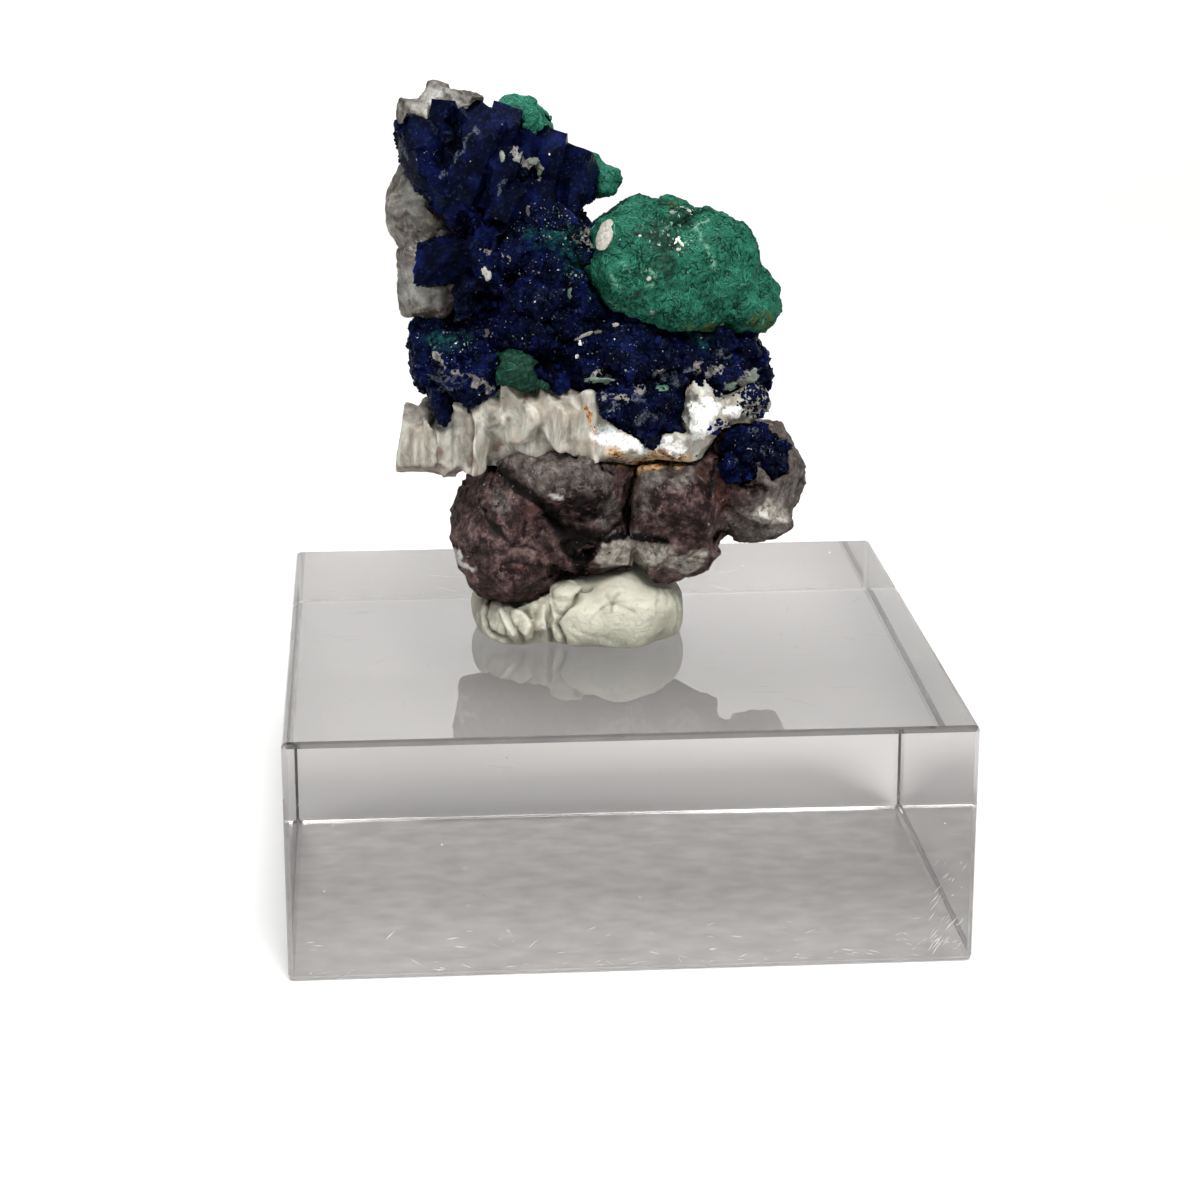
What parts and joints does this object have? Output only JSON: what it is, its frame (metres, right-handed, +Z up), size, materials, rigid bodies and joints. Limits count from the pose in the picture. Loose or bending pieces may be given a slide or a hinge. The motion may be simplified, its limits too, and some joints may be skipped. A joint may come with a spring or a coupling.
{
  "type": "azurite and malachite specimen",
  "caption": "Dark blue azurite crystals and a rounded green malachite mass on pale columnar mineral and brown rock, fixed with pale tack to a clear display block.",
  "frame": {"origin": "under the middle of the clear block, on the surface that it stands on", "axes": "+Z up, +X to the right as the specimen faces its viewer, +Y to the back"},
  "size_m": [0.0508, 0.0508, 0.0622],
  "materials": {
    "acrylic": "clear cast acrylic, polished, with fine scratches",
    "tack": "soft putty, satin, with pressed folds",
    "brown_rock": "rough broken rock, purple-brown with grey",
    "white_mineral": "pale columnar mineral, waxy to chalky",
    "azurite": "dark blue crystals with a glassy lustre",
    "malachite": "green, felted fibres, silky",
    "grey_crystal": "grey weathered crystals, dull"
  },
  "bodies": {
    "root": {"clear_block": "acrylic", "mineral_tack": "tack", "matrix_rock": "brown_rock", "white_band": "white_mineral", "azurite_crystals": "azurite", "azurite_patch": "azurite", "malachite_mass": "malachite", "malachite_tuft": "malachite", "malachite_bead": "malachite", "malachite_patch": "malachite", "grey_crystals_side": "grey_crystal", "grey_crystals_top": "grey_crystal"}
  },
  "joints": []
}
